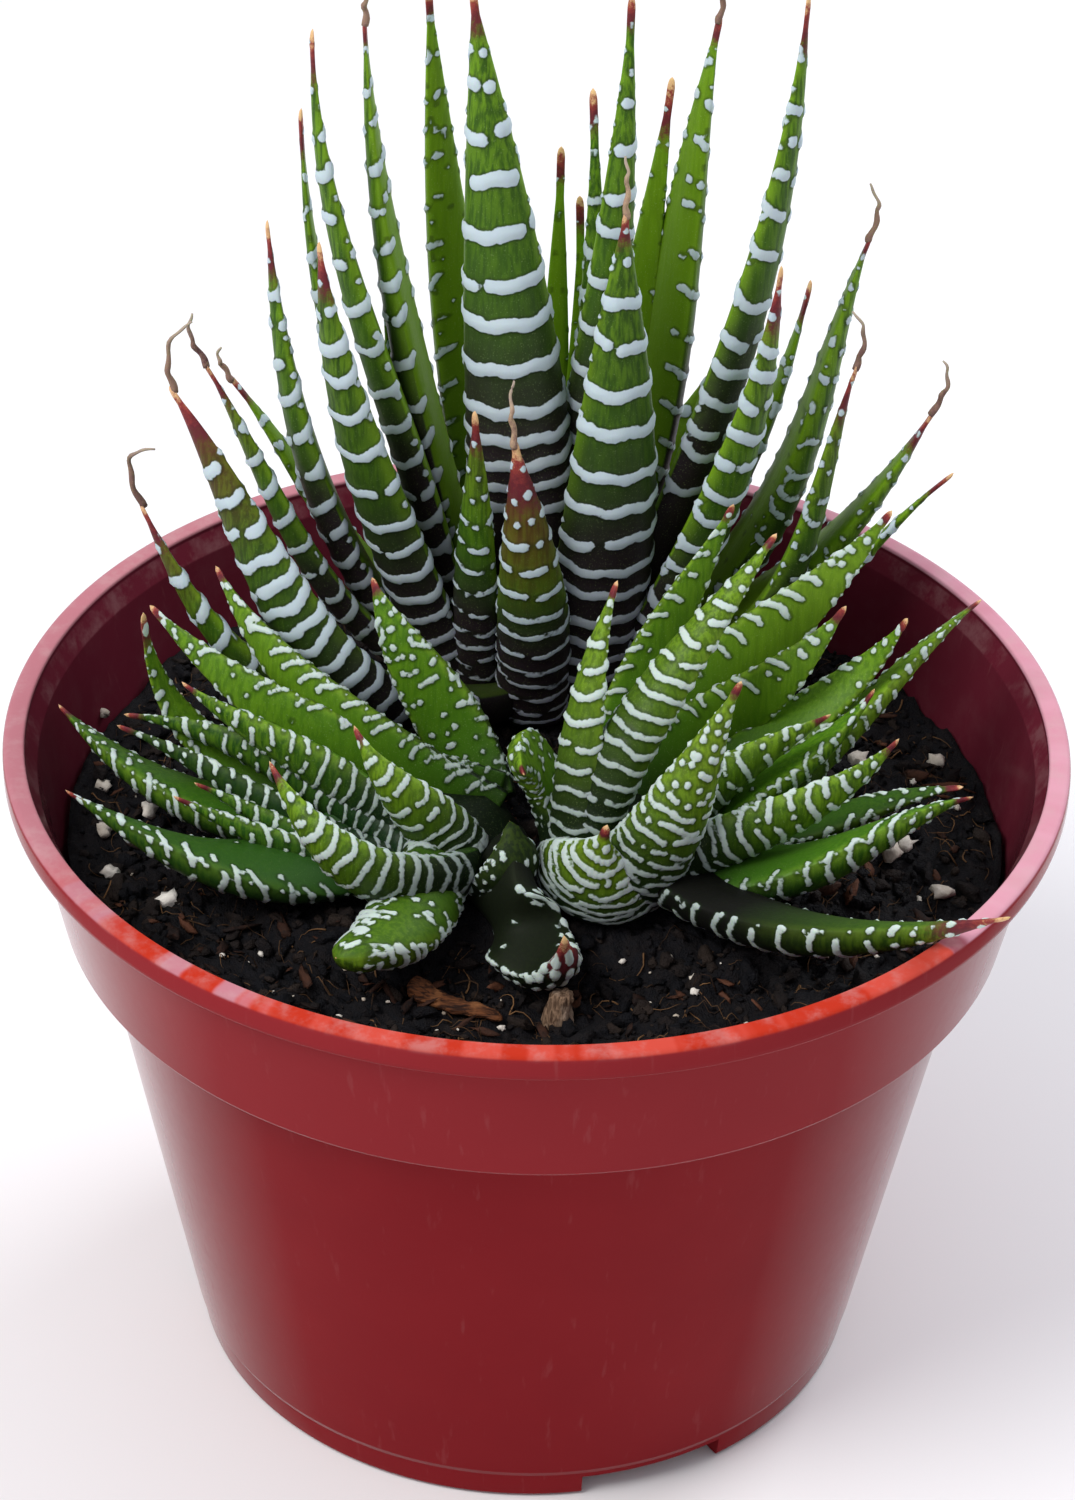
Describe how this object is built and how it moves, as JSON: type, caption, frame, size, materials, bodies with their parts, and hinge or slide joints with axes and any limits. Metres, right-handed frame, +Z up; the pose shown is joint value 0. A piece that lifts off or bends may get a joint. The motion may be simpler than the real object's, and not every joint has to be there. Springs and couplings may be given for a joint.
{
  "type": "potted haworthia",
  "caption": "Zebra haworthia with white-banded pointed leaves in tall and low rosettes, in a round tapered plastic nursery pot filled with potting mix.",
  "frame": {"origin": "middle of the pot's foot, on the surface that the pot stands on", "axes": "+Z up along the pot's axis; +Y towards the tall rosette at the back; +X to the right when the low rosettes are seen from the front"},
  "size_m": [0.108, 0.108, 0.143],
  "materials": {
    "pot": "moulded, softly glossy red plastic",
    "soil": "dark fibrous potting mix with white grains",
    "rosette_back": "smooth dark green succulent leaf with raised white bands",
    "rosette_left": "smooth lime green succulent leaf with raised white bands",
    "rosette_right": "smooth lime green succulent leaf with raised white bands",
    "dead_leaf": "dry brown leaf, matt and fibrous"
  },
  "bodies": {
    "root": {"pot": "pot", "soil": "soil", "rosette_back": "rosette_back", "rosette_left": "rosette_left", "rosette_right": "rosette_right", "dead_leaf": "dead_leaf"}
  },
  "joints": []
}
